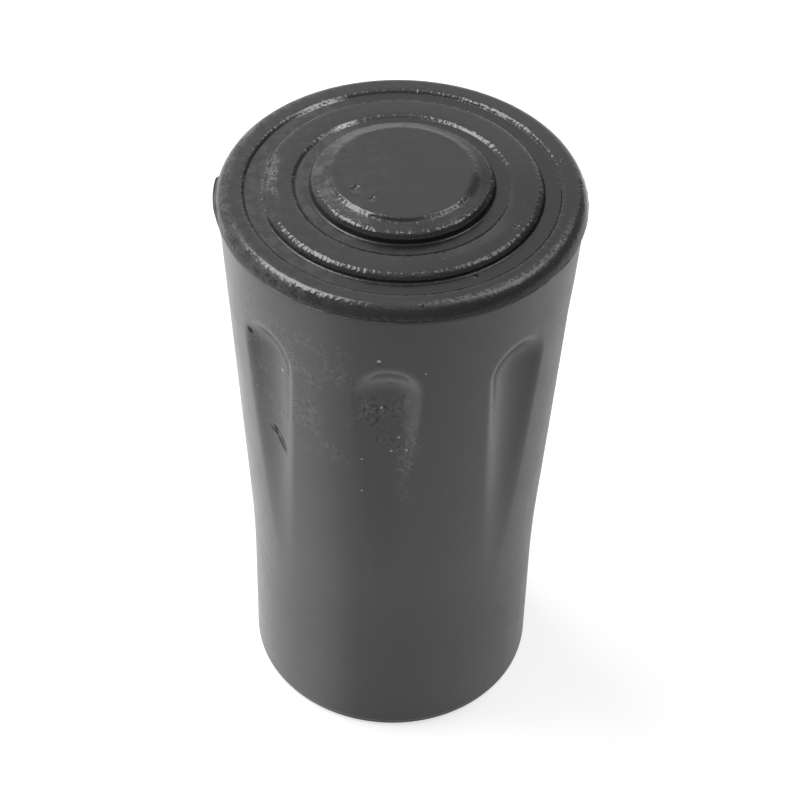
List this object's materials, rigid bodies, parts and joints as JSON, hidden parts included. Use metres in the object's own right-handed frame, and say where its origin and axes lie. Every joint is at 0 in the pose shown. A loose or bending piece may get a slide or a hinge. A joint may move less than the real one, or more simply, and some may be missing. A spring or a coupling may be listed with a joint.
{
  "type": "rubber cane tip",
  "caption": "Push-on rubber tip for a cane or walking pole: a flared round body with flutes, a stepped ring tread and a deep blind bore.",
  "frame": {"origin": "centre of the open mouth, in the plane that the tip stands on", "axes": "+Z along the bore axis towards the tread; one flute faces -Y"},
  "size_m": [0.0288, 0.0288, 0.053],
  "materials": {
    "rubber": "moulded dark grey rubber, half matt, with a little dust"
  },
  "bodies": {
    "root": {"rubber_tip": "rubber"}
  },
  "joints": []
}
